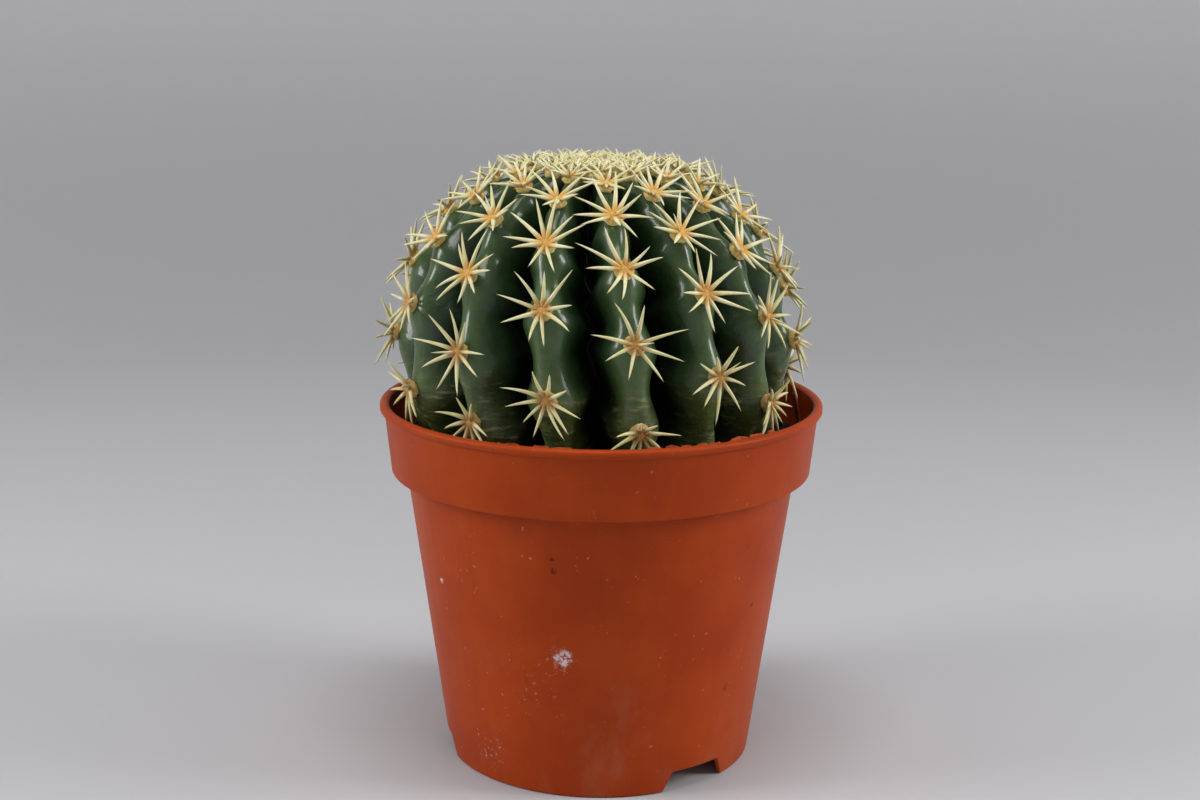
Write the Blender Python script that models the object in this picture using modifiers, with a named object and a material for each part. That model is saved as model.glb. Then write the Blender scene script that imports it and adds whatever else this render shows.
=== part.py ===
"""Potted round cactus: a ribbed globe-shaped stem with a cluster of spines on every
cushion, set in potting soil in a plastic nursery pot. Metres, +Z up, front towards -Y,
origin on the pot's axis at the height of the foot."""

import math

import bmesh
import bpy
from mathutils import Vector

OBJECT_NAME = "potted_round_cactus"

# Clearance between pieces that touch.
GAP = 0.0003

# Pot: a tapered cup with a stepped rim band, a rounded lip and a raised floor.
POT_HEIGHT = 0.0860
POT_LIP_RADIUS = 0.0525
POT_LIP_HEIGHT = 0.0016
POT_LIP_PROUD = 0.0010
POT_BAND_HEIGHT = 0.0165
POT_BAND_DRAFT = 0.0016
POT_LEDGE = 0.0035
POT_FOOT_RADIUS = 0.0367
POT_WALL = 0.0012
POT_FLOOR_UNDERSIDE = 0.0052
POT_FLOOR_THICKNESS = 0.0014
POT_SIDES = 60

# Notches in the pot's foot, and the drain holes in its floor.
NOTCH_COUNT = 3
NOTCH_FIRST_AZIMUTH = math.radians(38)
NOTCH_HEIGHT = 0.0048
NOTCH_TOP_HALF_WIDTH = 0.0067
NOTCH_FOOT_HALF_WIDTH = 0.0090
DRAIN_HOLE_COUNT = 6
DRAIN_HOLE_RADIUS = 0.0035
DRAIN_HOLE_CIRCLE = 0.0225
DRAIN_HOLE_SIDES = 12

# Soil: its surface lies this far below the pot's rim.
SOIL_BELOW_RIM = 0.0090

# Stem: a flattened globe whose ribs run from the crown to the buried base.
STEM_RADIUS = 0.0469
STEM_HALF_HEIGHT = 0.0432
STEM_CENTRE_ABOVE_RIM = 0.0135
STEM_OFF_CENTRE = -0.0016
STEM_SQUARENESS = 2.11
CROWN_DIP_DEPTH = 0.0040
CROWN_DIP_RADIUS = 0.0120
RIB_COUNT = 15
RIB_FIRST_AZIMUTH = math.radians(5.4)
RIB_CROWDING = math.radians(6.1)
RIB_TWIST = -0.089
FURROW_DEPTH = 0.0110
FURROW_START_RADIUS = 0.0150
FURROW_POWER = 2.4
FURROW_SHARPNESS = 0.8
WAIST_DEPTH = 0.0016
RIB_SWAY = 0.13
COLUMNS_PER_RIB = 6
VISIBLE_ROWS = 26
BURIED_ROWS = 5
BURIED_LATITUDE = math.radians(-31)

# Areoles: the n-th from the crown stands at AREOLE_SPREAD * n * n from the pole.
AREOLE_SPREAD = math.radians(1.675)
AREOLE_FIRST_PHASE = 3.96
AREOLE_PHASE_TURNS = 7
AREOLE_PHASE_WANDER = 0.15
CROWN_INNER_ORDER = 2.6
CROWN_OUTER_ORDER = 4.6
AREOLE_LAST_ORDER = 8.15
AREOLE_LOWEST_ORDER = 7.9  # one due just under the soil is crowded up to here

# Spine clusters: a felt cushion with spines round its side and one on top.
CUSHION_RADIUS = 0.0022
CUSHION_TOP_SHARE = 0.72
CUSHION_HEIGHT = 0.0013
CUSHION_RIM = 0.0010
SPINES_ROUND = 9
SPINE_LENGTH = 0.0085
YOUNG_SPINE_LENGTH = 0.0062
SPINE_RISE = math.radians(25)
YOUNG_SPINE_RISE = math.radians(52)
SPINE_DROOP = 0.35
SPINE_CLEARANCE = 0.0012
SPINE_CHECKS = (0.4, 0.6, 0.8, 1)
SPINE_SHORTENING = 0.05
SHORTEST_SPINE = 0.3
CENTRAL_SPINE_LENGTH = 0.0038
CROWN_FELT = 0.0009
CROWN_SPINE_LENGTH = 0.0032
CROWN_SPINE_SPREAD = 0.45

POT_LEDGE_HEIGHT = POT_HEIGHT - POT_BAND_HEIGHT
POT_BAND_TOP_RADIUS = POT_LIP_RADIUS - POT_LIP_PROUD
POT_BAND_FOOT_RADIUS = POT_BAND_TOP_RADIUS - POT_BAND_DRAFT
POT_WALL_TOP_RADIUS = POT_BAND_FOOT_RADIUS - POT_LEDGE
POT_FLOOR_TOP = POT_FLOOR_UNDERSIDE + POT_FLOOR_THICKNESS
SOIL_LEVEL = POT_HEIGHT - SOIL_BELOW_RIM
STEM_CENTRE_HEIGHT = POT_HEIGHT + STEM_CENTRE_ABOVE_RIM
RIB_STEP = math.tau / RIB_COUNT
STEM_COLUMNS = RIB_COUNT * COLUMNS_PER_RIB
STEM_ROWS = VISIBLE_ROWS + BURIED_ROWS


def clear_scene():
    for old in list(bpy.data.objects):
        bpy.data.objects.remove(old, do_unlink=True)


def new_collection(name):
    collection = bpy.data.collections.new(name)
    bpy.context.scene.collection.children.link(collection)
    return collection


def material(name, colour, roughness):
    made = bpy.data.materials.new(name)
    made.use_nodes = True
    shader = made.node_tree.nodes["Principled BSDF"]
    shader.inputs["Base Color"].default_value = (*colour, 1)
    shader.inputs["Roughness"].default_value = roughness
    shader.inputs["Metallic"].default_value = 0
    made.diffuse_color = (*colour, 1)
    return made


def object_from(bm, name, collection, surface=None):
    """A named object made from bm, with its normals outward."""
    bmesh.ops.recalc_face_normals(bm, faces=bm.faces)
    mesh = bpy.data.meshes.new(name)
    bm.to_mesh(mesh)
    bm.free()
    made = bpy.data.objects.new(name, mesh)
    collection.objects.link(made)
    if surface:
        mesh.materials.append(surface)
    return made


def as_cutter(made):
    made.hide_render = True
    made.display_type = "WIRE"
    return made


def cut(target, cutter):
    modifier = target.modifiers.new("cut_" + cutter.name, "BOOLEAN")
    modifier.operation = "DIFFERENCE"
    modifier.solver = "EXACT"
    modifier.object = cutter


def smooth(made, sharp_angle):
    made.data.shade_smooth()
    made.data.set_sharp_from_angle(angle=sharp_angle)


def turned(name, profile, sides, collection, surface):
    """A solid of revolution: profile is (radius, height) points whose ends lie on the axis."""
    bm = bmesh.new()
    points = [bm.verts.new((radius, 0, height)) for radius, height in profile]
    for start, end in zip(points, points[1:]):
        bm.edges.new((start, end))
    made = object_from(bm, name, collection, surface)
    screw = made.modifiers.new("turn", "SCREW")
    screw.steps = sides
    screw.render_steps = sides
    screw.use_merge_vertices = True
    screw.merge_threshold = 0.00001
    screw.use_smooth_shade = True
    return made


# Pot ---------------------------------------------------------------------------------


def pot_inside(clearance):
    """The pot's inside as (radius, height) points from the floor up to the band."""
    slope = (POT_WALL_TOP_RADIUS - POT_FOOT_RADIUS) / POT_LEDGE_HEIGHT
    wall = POT_WALL + clearance
    floor = POT_FLOOR_TOP + clearance
    ledge = POT_LEDGE_HEIGHT + wall
    return [
        (POT_FOOT_RADIUS + slope * floor - wall, floor),
        (POT_WALL_TOP_RADIUS - wall, ledge),
        (POT_BAND_FOOT_RADIUS - wall, ledge),
    ]


def pot_band_inside(height, clearance):
    """Inner radius of the rim band at a height."""
    share = (height - POT_LEDGE_HEIGHT) / POT_BAND_HEIGHT
    return POT_BAND_FOOT_RADIUS + POT_BAND_DRAFT * share - POT_WALL - clearance


def lip_arc():
    """The rounded lip, from the inner edge over the top to the outer edge."""
    half = POT_LIP_HEIGHT / 2
    inner = POT_BAND_TOP_RADIUS - POT_WALL
    return [
        (inner, POT_HEIGHT - half),
        (inner + half / 2, POT_HEIGHT),
        (POT_LIP_RADIUS - half / 2, POT_HEIGHT),
        (POT_LIP_RADIUS, POT_HEIGHT - half / 2),
        (POT_LIP_RADIUS, POT_HEIGHT - POT_LIP_HEIGHT + half / 2),
        (POT_BAND_TOP_RADIUS, POT_HEIGHT - POT_LIP_HEIGHT),
    ]


def make_pot(parts, cutters):
    profile = [(0, POT_FLOOR_TOP), *pot_inside(0), *lip_arc()]
    profile += [
        (POT_BAND_FOOT_RADIUS, POT_LEDGE_HEIGHT),
        (POT_WALL_TOP_RADIUS, POT_LEDGE_HEIGHT),
        (POT_FOOT_RADIUS, 0),
        (POT_FOOT_RADIUS - POT_WALL, 0),
        (POT_FOOT_RADIUS - POT_WALL, POT_FLOOR_UNDERSIDE),
        (0, POT_FLOOR_UNDERSIDE),
    ]
    terracotta = material("pot_plastic", (0.42, 0.085, 0.028), 0.42)
    pot = turned("pot", profile, POT_SIDES, parts, terracotta)
    for number in range(NOTCH_COUNT):
        cut(pot, make_notch(number, cutters))
    for number in range(DRAIN_HOLE_COUNT):
        cut(pot, make_drain_hole(number, cutters))
    return pot


def make_notch(number, cutters):
    """A block with slanted ends that opens the foot ring."""
    bm = bmesh.new()
    bmesh.ops.create_cube(bm, size=2)
    depth = 4 * POT_WALL
    for vert in bm.verts:
        foot = vert.co.z < 0
        half_width = NOTCH_FOOT_HALF_WIDTH if foot else NOTCH_TOP_HALF_WIDTH
        height = -NOTCH_HEIGHT if foot else NOTCH_HEIGHT
        vert.co = (vert.co.x * half_width, vert.co.y * depth - POT_FOOT_RADIUS, height)
    notch = as_cutter(object_from(bm, f"notch_{number + 1}", cutters))
    notch.rotation_euler.z = NOTCH_FIRST_AZIMUTH + number * math.tau / NOTCH_COUNT
    return notch


def make_drain_hole(number, cutters):
    bm = bmesh.new()
    bmesh.ops.create_cone(
        bm,
        cap_ends=True,
        segments=DRAIN_HOLE_SIDES,
        radius1=DRAIN_HOLE_RADIUS,
        radius2=DRAIN_HOLE_RADIUS,
        depth=4 * POT_FLOOR_THICKNESS,
    )
    hole = as_cutter(object_from(bm, f"drain_hole_{number + 1}", cutters))
    azimuth = NOTCH_FIRST_AZIMUTH + math.tau * number / DRAIN_HOLE_COUNT
    middle = POT_FLOOR_UNDERSIDE + POT_FLOOR_THICKNESS / 2
    across = DRAIN_HOLE_CIRCLE * math.cos(azimuth)
    along = DRAIN_HOLE_CIRCLE * math.sin(azimuth)
    hole.location = (across, along, middle)
    return hole


# Stem --------------------------------------------------------------------------------


def areole_order(latitude):
    """How many areoles down from the crown a latitude lies, as a real number."""
    return math.sqrt(max(math.pi / 2 - latitude, 0) / AREOLE_SPREAD)


def rib_phase(rib):
    """Where the areoles of a rib stand in the count from the crown, from 0 to 1."""
    turn = rib / RIB_COUNT
    wander = AREOLE_PHASE_WANDER * math.sin(math.tau * turn + RIB_STEP / 2)
    return (AREOLE_FIRST_PHASE + AREOLE_PHASE_TURNS * turn - wander) % 1


def swelling(rib, latitude):
    """1 at an areole of the rib and -1 half way between two."""
    return math.cos(math.tau * (areole_order(latitude) - rib_phase(rib)))


def globe(latitude):
    """(radius, height) on the envelope that the rib crests reach at their areoles."""
    power = 2 / STEM_SQUARENESS
    radius = STEM_RADIUS * abs(math.cos(latitude)) ** power
    rise = STEM_HALF_HEIGHT * abs(math.sin(latitude)) ** power
    height = STEM_CENTRE_HEIGHT + math.copysign(rise, latitude)
    if latitude > 0:
        height -= CROWN_DIP_DEPTH * math.exp(-((radius / CROWN_DIP_RADIUS) ** 2))
    return radius, height


def globe_normal(latitude):
    """Outward (radius, height) direction of the envelope."""
    small = math.radians(0.5)
    upper = globe(min(latitude + small, math.pi / 2))
    lower = globe(max(latitude - small, -math.pi / 2))
    normal = Vector((upper[1] - lower[1], lower[0] - upper[0]))
    return normal.normalized()


def stem_point(rib_place, latitude, lift):
    """A point of the ribbed surface, raised by lift. rib_place counts ribs round the stem:
    a whole number is a crest, and a half is the bottom of a furrow."""
    rib = round(rib_place)
    across = 2 * (rib_place - rib)
    side = 1 if across >= 0 else -1
    own = swelling(rib, latitude)
    next_one = swelling(rib + side, latitude)
    sway = RIB_SWAY * math.cos(latitude) * (own - next_one) / 2
    azimuth = RIB_STEP * (rib + across / 2 * (1 + sway))
    azimuth += RIB_FIRST_AZIMUTH + RIB_TWIST * latitude
    azimuth += RIB_CROWDING * math.cos(azimuth)
    radius, height = globe(latitude)
    fade = 1 - math.exp(-((radius / FURROW_START_RADIUS) ** 2))
    steepness = (1 - abs(across) ** FURROW_POWER) ** FURROW_SHARPNESS
    waist = WAIST_DEPTH * math.cos(latitude) * (1 - own) / 2 * steepness
    depth = FURROW_DEPTH * fade * (1 - steepness) + waist - lift
    normal = globe_normal(latitude)
    radius -= depth * normal.x
    height -= depth * normal.y
    x = STEM_OFF_CENTRE + radius * math.sin(azimuth)
    return Vector((x, -radius * math.cos(azimuth), height))


def row_latitude(row):
    """Latitude of a row of the stem's grid, counted from the crown."""
    if row <= VISIBLE_ROWS:
        share = row / VISIBLE_ROWS
        return math.pi / 2 + share * (BURIED_LATITUDE - math.pi / 2)
    share = (row - VISIBLE_ROWS) / BURIED_ROWS
    return BURIED_LATITUDE - share * (math.pi / 2 + BURIED_LATITUDE)


def grid_place(direction):
    """(column, row) of a vertex of the unit sphere that the stem starts as."""
    azimuth = math.atan2(direction.x, -direction.y) % math.tau
    column = round(azimuth / math.tau * STEM_COLUMNS) % STEM_COLUMNS
    row = round(math.acos(max(-1, min(1, direction.z))) / math.pi * STEM_ROWS)
    return column, row


def stem_grid():
    """A sphere with a column line on every crest and furrow, and each vertex's place."""
    bm = bmesh.new()
    bmesh.ops.create_uvsphere(
        bm, u_segments=STEM_COLUMNS, v_segments=STEM_ROWS, radius=1
    )
    places = {vert: grid_place(vert.co) for vert in bm.verts}
    return bm, places


def lay_on_stem(bm, faces, places, lift):
    """Moves the grid's vertices onto the ribbed surface. The faces are split alike at any
    lift, so that two surfaces laid on the stem stay apart everywhere."""
    bmesh.ops.triangulate(bm, faces=faces, quad_method="FIXED")
    for vert, (column, row) in places.items():
        if vert.is_valid:
            vert.co = stem_point(column / COLUMNS_PER_RIB, row_latitude(row), lift)


def make_stem(parts):
    bm, places = stem_grid()
    lay_on_stem(bm, bm.faces[:], places, 0)
    green = material("stem_skin", (0.030, 0.085, 0.032), 0.28)
    stem = object_from(bm, "cactus_stem", parts, green)
    smooth(stem, math.radians(50))
    return stem


def make_soil(parts, cutters):
    """Potting soil that fills the pot up to its level, with a hollow for the stem."""
    profile = [(0, POT_FLOOR_TOP + GAP), *pot_inside(GAP)]
    profile += [(pot_band_inside(SOIL_LEVEL, GAP), SOIL_LEVEL), (0, SOIL_LEVEL)]
    dark = material("potting_soil", (0.018, 0.013, 0.010), 0.95)
    soil = turned("soil", profile, POT_SIDES, parts, dark)
    bm, places = stem_grid()
    lay_on_stem(bm, bm.faces[:], places, GAP)
    cut(soil, as_cutter(object_from(bm, "stem_hollow", cutters)))
    return soil


# Spines ------------------------------------------------------------------------------


def areole_frame(rib, order):
    """Foot, outward direction and upward direction of an areole on a rib's crest."""
    latitude = math.pi / 2 - AREOLE_SPREAD * order**2
    small = math.radians(1)
    foot = stem_point(rib, latitude, GAP)
    up = stem_point(rib, latitude + small, 0) - stem_point(rib, latitude - small, 0)
    up.normalize()
    beside = Vector((math.cos(azimuth_of(foot)), math.sin(azimuth_of(foot)), 0))
    outward = beside.cross(up).normalized()
    return foot, outward, up


def azimuth_of(point):
    """Azimuth of a point about the stem's axis, from the front towards +X."""
    return math.atan2(point.x - STEM_OFF_CENTRE, -point.y)


def clear_of_pot(point):
    """Whether a point of a spine stands clear of the pot's rim and of the soil."""
    if point.z > POT_HEIGHT + SPINE_CLEARANCE:
        return True
    reach = math.hypot(point.x, point.y)
    inside = reach < pot_band_inside(POT_HEIGHT, SPINE_CLEARANCE)
    return inside and point.z > SOIL_LEVEL + GAP


def clear_tip(start, heading, length):
    """The tip of a spine, drawn back where it would reach the pot's rim or the soil."""
    share = 1
    spine = heading.normalized() * length
    while share > SHORTEST_SPINE:
        if all(clear_of_pot(start + spine * share * part) for part in SPINE_CHECKS):
            break
        share -= SPINE_SHORTENING
    return start + spine * share


def draw_out(bm, face, tip):
    """Extrudes a face into a spine that ends in a point."""
    end = bmesh.ops.extrude_discrete_faces(bm, faces=[face])["faces"][0]
    bmesh.ops.pointmerge(bm, verts=end.verts[:], merge_co=tip)


def make_spine_cluster(name, rib, order, parts, surface):
    """One areole: a round felt cushion whose side faces and top are drawn out to spines."""
    foot, outward, up = areole_frame(rib, order)
    beside = up.cross(outward)
    age = (order - CROWN_OUTER_ORDER) / (AREOLE_LAST_ORDER - CROWN_OUTER_ORDER)
    rise = YOUNG_SPINE_RISE + (SPINE_RISE - YOUNG_SPINE_RISE) * min(1, 2 * age)
    length = YOUNG_SPINE_LENGTH + (SPINE_LENGTH - YOUNG_SPINE_LENGTH) * min(1, 2 * age)
    droop = SPINE_DROOP * max(0, 2 * age - 1)

    bm = bmesh.new()
    bmesh.ops.create_cone(
        bm,
        cap_ends=True,
        segments=SPINES_ROUND,
        radius1=CUSHION_RADIUS,
        radius2=CUSHION_RADIUS * CUSHION_TOP_SHARE,
        depth=CUSHION_HEIGHT,
    )
    bmesh.ops.translate(bm, verts=bm.verts, vec=(0, 0, CUSHION_HEIGHT / 2))
    for vert in bm.verts:
        flat = vert.co.copy()
        vert.co = foot + beside * flat.x + up * flat.y + outward * flat.z
    bm.normal_update()

    middle = foot + outward * CUSHION_HEIGHT / 2
    sides = [face for face in bm.faces if len(face.verts) == 4]
    top = max(bm.faces, key=lambda face: (face.calc_center_median() - foot).dot(outward))
    bmesh.ops.inset_individual(bm, faces=[top], thickness=CUSHION_RIM)

    for face in sides:
        start = face.calc_center_median()
        away = (start - middle).normalized()
        heading = away * math.cos(rise) + outward * math.sin(rise) - up * droop
        draw_out(bm, face, clear_tip(start, heading, length))
    heading = outward - up * droop
    start = top.calc_center_median()
    draw_out(bm, top, clear_tip(start, heading, CENTRAL_SPINE_LENGTH))
    cluster = object_from(bm, name, parts, surface)
    smooth(cluster, math.radians(40))
    return cluster


def rib_orders(rib, first, last):
    """Places in the count from the crown of a rib's areoles from first up to last."""
    start = math.ceil(first - rib_phase(rib)) + rib_phase(rib)
    return [start + step for step in range(math.ceil(last - start))]


def make_spine_clusters(parts):
    straw = material("spines", (0.78, 0.66, 0.34), 0.5)
    for rib in range(RIB_COUNT):
        orders = rib_orders(rib, CROWN_OUTER_ORDER, AREOLE_LAST_ORDER)
        for number, order in enumerate(orders):
            name = f"spines_rib{rib + 1:02d}_{number + 1}"
            place = min(order, AREOLE_LOWEST_ORDER)
            make_spine_cluster(name, rib, place, parts, straw)


def make_crown(parts):
    """The young growth: felt that runs out from the pole along every crest, with spines
    drawn out of it round each young areole."""
    bm, places = stem_grid()
    young = {
        rib: rib_orders(rib, CROWN_INNER_ORDER, CROWN_OUTER_ORDER)
        for rib in range(RIB_COUNT)
    }
    disc_row = young_rows(CROWN_INNER_ORDER)[0] - 1
    spare = []
    for face in bm.faces:
        rib, by_crest, row = face_place(face, places)
        last_row = max(young_rows(young[rib][-1])) if by_crest else disc_row
        if row > last_row:
            spare.append(face)
    bmesh.ops.delete(bm, geom=spare, context="FACES")

    under = bm.faces[:]
    raised = bmesh.ops.extrude_face_region(bm, geom=under, use_keep_orig=True)["geom"]
    over_verts = [item for item in raised if isinstance(item, bmesh.types.BMVert)]
    over_places = {vert: grid_place(vert.co) for vert in over_verts}
    over = [item for item in raised if isinstance(item, bmesh.types.BMFace)]
    face_places = {face: face_place(face, over_places) for face in over}
    lay_on_stem(bm, under, places, GAP)
    lay_on_stem(bm, [], over_places, GAP + CROWN_FELT)
    for rib, orders in young.items():
        for order in orders:
            middle, outward, up = areole_frame(rib, order)
            rows = young_rows(order)
            for face, (face_rib, by_crest, row) in face_places.items():
                if face_rib == rib and by_crest and row in rows:
                    start = face.calc_center_median()
                    away = (start - middle).normalized()
                    heading = (outward + away * CROWN_SPINE_SPREAD).normalized()
                    draw_out(bm, face, start + heading * CROWN_SPINE_LENGTH)
    cream = material("crown_growth", (0.80, 0.68, 0.38), 0.7)
    crown = object_from(bm, "crown", parts, cream)
    smooth(crown, math.radians(40))
    return crown


def young_rows(order):
    """The two rows of grid faces that meet nearest an areole of this order."""
    share = AREOLE_SPREAD * order**2 / (math.pi / 2 - BURIED_LATITUDE)
    row = round(share * VISIBLE_ROWS)
    return row, row + 1


def face_place(face, places):
    """The rib that a grid face lies on, whether it touches the crest, and its row."""
    corners = [places[vert] for vert in face.verts]
    columns = [column for column, row in corners if row > 0]
    if max(columns) - min(columns) > STEM_COLUMNS / 2:
        columns = [column or STEM_COLUMNS for column in columns]
    middle = (min(columns) + max(columns)) / 2 / COLUMNS_PER_RIB
    by_crest = abs(middle - round(middle)) * COLUMNS_PER_RIB < 1
    return round(middle) % RIB_COUNT, by_crest, max(row for column, row in corners)


clear_scene()
parts_collection = new_collection(OBJECT_NAME)
cutters_collection = new_collection(OBJECT_NAME + "_cutters")
make_pot(parts_collection, cutters_collection)
make_soil(parts_collection, cutters_collection)
make_stem(parts_collection)
make_crown(parts_collection)
make_spine_clusters(parts_collection)
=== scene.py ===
import math
import random

import bmesh
import bpy
from mathutils import Matrix, Vector, noise


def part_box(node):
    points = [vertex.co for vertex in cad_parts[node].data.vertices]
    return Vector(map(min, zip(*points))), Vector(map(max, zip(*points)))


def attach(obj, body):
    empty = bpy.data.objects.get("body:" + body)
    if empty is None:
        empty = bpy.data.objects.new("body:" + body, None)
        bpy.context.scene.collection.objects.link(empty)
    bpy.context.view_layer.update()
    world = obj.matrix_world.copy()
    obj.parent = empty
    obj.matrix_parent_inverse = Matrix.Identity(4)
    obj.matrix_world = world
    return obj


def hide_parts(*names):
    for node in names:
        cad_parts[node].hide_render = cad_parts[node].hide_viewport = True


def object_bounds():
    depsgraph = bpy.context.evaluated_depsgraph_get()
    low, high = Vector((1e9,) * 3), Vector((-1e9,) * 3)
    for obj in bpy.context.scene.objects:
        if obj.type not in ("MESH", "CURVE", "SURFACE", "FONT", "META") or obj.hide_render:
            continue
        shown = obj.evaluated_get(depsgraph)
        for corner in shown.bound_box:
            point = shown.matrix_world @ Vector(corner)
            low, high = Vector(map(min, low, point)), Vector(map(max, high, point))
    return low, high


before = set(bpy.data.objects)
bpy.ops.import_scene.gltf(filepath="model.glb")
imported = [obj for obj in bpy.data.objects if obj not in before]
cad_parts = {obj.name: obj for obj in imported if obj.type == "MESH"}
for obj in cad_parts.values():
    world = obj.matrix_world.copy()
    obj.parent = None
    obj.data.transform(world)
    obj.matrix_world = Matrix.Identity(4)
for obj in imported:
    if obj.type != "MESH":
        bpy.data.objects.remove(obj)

cad_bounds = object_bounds()


# ---- Pot ------------------------------------------------------------------------------
# The pot is one shot of orange-brown polypropylene: a tapered wall under a stepped rim
# band with a small rolled lip, and a raised floor with drain holes inside a foot ring
# that three notches open. Its scuffs, small dark chips, dust and dried drips are in its surface.

class Value:
    """A shader socket. Arithmetic on it adds Math nodes to its material."""

    def __init__(self, finish, socket):
        self.finish = finish
        self.socket = socket

    def math(self, operation, *others):
        inputs = dict(enumerate((self, *others)))
        return self.finish.node("ShaderNodeMath", {"operation": operation}, inputs)

    def between(self, low, high, to_low=0.0, to_high=1.0):
        """Eased from to_low to to_high as the value goes from low to high."""
        inputs = {0: self, 1: low, 2: high, 3: to_low, 4: to_high}
        settings = {"interpolation_type": "SMOOTHSTEP", "clamp": True}
        return self.finish.node("ShaderNodeMapRange", settings, inputs)

    def __add__(self, other):
        return self.math("ADD", other)

    __radd__ = __add__

    def __mul__(self, other):
        return self.math("MULTIPLY", other)

    __rmul__ = __mul__

    def __sub__(self, other):
        return self.math("SUBTRACT", other)

    def __rsub__(self, other):
        return (self * -1) + other


class Finish:
    """A Principled material: uniform sockets are set here, and patterns are fed to it."""

    def __init__(self, name, sockets):
        self.material = bpy.data.materials.new(name)
        self.material.use_nodes = True
        self.tree = self.material.node_tree
        self.skin = self.tree.nodes["Principled BSDF"]
        for socket, value in sockets.items():
            self.plug(self.skin.inputs[socket], value)

    def plug(self, socket, value):
        if isinstance(value, Value):
            self.tree.links.new(value.socket, socket)
        elif isinstance(value, tuple) and len(value) == 3 and socket.type == "RGBA":
            socket.default_value = (*value, 1)
        else:
            socket.default_value = value

    def node(self, kind, settings, inputs, output=0):
        """A node of a kind, its settings set first, then its sockets given values or links."""
        made = self.tree.nodes.new(kind)
        for name, value in settings.items():
            setattr(made, name, value)
        for name, value in inputs.items():
            self.plug(made.inputs[name], value)
        return Value(self, made.outputs[output])

    def place(self, scale=(1, 1, 1)):
        """Object coordinates, stretched by scale."""
        point = self.node("ShaderNodeTexCoord", {}, {}, "Object")
        inputs = {"Vector": point, "Scale": scale}
        return self.node("ShaderNodeMapping", {"vector_type": "POINT"}, inputs)

    def height(self):
        point = self.node("ShaderNodeTexCoord", {}, {}, "Object")
        return self.node("ShaderNodeSeparateXYZ", {}, {0: point}, "Z")

    def noise(self, where, size, detail=3.0, roughness=0.55):
        """Noise from 0 to 1 whose lumps are about size metres wide."""
        inputs = {"Vector": where, "Scale": 1 / size, "Detail": detail, "Roughness": roughness}
        return self.node("ShaderNodeTexNoise", {}, inputs, 0)

    def away(self, where, spot):
        """Distance of a place from a spot."""
        inputs = {0: where, 1: spot}
        return self.node("ShaderNodeVectorMath", {"operation": "DISTANCE"}, inputs, "Value")

    def carried(self, name):
        """A number that the mesh carries at its points."""
        return self.node("ShaderNodeAttribute", {"attribute_name": name}, {}, "Fac")

    def mix(self, factor, first, second):
        inputs = {0: factor, 6: first, 7: second}
        return self.node("ShaderNodeMix", {"data_type": "RGBA"}, inputs, 2)

    def bump(self, height, distance, strength=1.0, under=None):
        inputs = {"Height": height, "Distance": distance, "Strength": strength}
        if under:
            inputs["Normal"] = under
        return self.node("ShaderNodeBump", {}, inputs)

    def feed(self, sockets):
        for socket, value in sockets.items():
            self.plug(self.skin.inputs[socket], value)
        return self.material


def piece_from(bm, name, nodes, finishes, sharp_angle):
    """Turns a bmesh into a smooth piece of the object that stands for CAD nodes."""
    mesh = bpy.data.meshes.new(name)
    bm.to_mesh(mesh)
    bm.free()
    mesh.shade_smooth()
    mesh.set_sharp_from_angle(angle=sharp_angle)
    for finish in finishes:
        mesh.materials.append(finish)
    piece = bpy.data.objects.new(name, mesh)
    bpy.context.scene.collection.objects.link(piece)
    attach(piece, "root")
    if nodes:
        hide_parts(*nodes)
    return piece


def bearing(point, middle_x=0.0):
    """Angle of a point round an upright axis, from the front towards +X."""
    return math.atan2(point.x - middle_x, -point.y)


rim_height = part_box("pot")[1][2]
lip_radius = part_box("pot")[1][0]
lip_height = 0.0016
lip_proud = 0.0010
band_height = 0.0165
band_draft = 0.0016
ledge_width = 0.0035
foot_radius = 0.0367
wall = 0.0012
floor_underside = 0.0052
floor_top = 0.0066
notch_height = 0.0048
notch_count = 3
first_notch = math.radians(38)
notch_centres = [first_notch + math.tau * turn / notch_count for turn in range(notch_count)]
notch_foot_half = math.radians(14)
notch_top_half = math.radians(10.5)
foot_ring_inside = 0.034
drain_count = 6
drain_circle = 0.0225
drain_radius = 0.0035
lip_steps = 12

ledge_height = rim_height - band_height
band_top_radius = lip_radius - lip_proud
band_foot_radius = band_top_radius - band_draft
wall_top_radius = band_foot_radius - ledge_width
wall_slope = (wall_top_radius - foot_radius) / ledge_height


def outer_wall(height):
    return foot_radius + wall_slope * height


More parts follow.
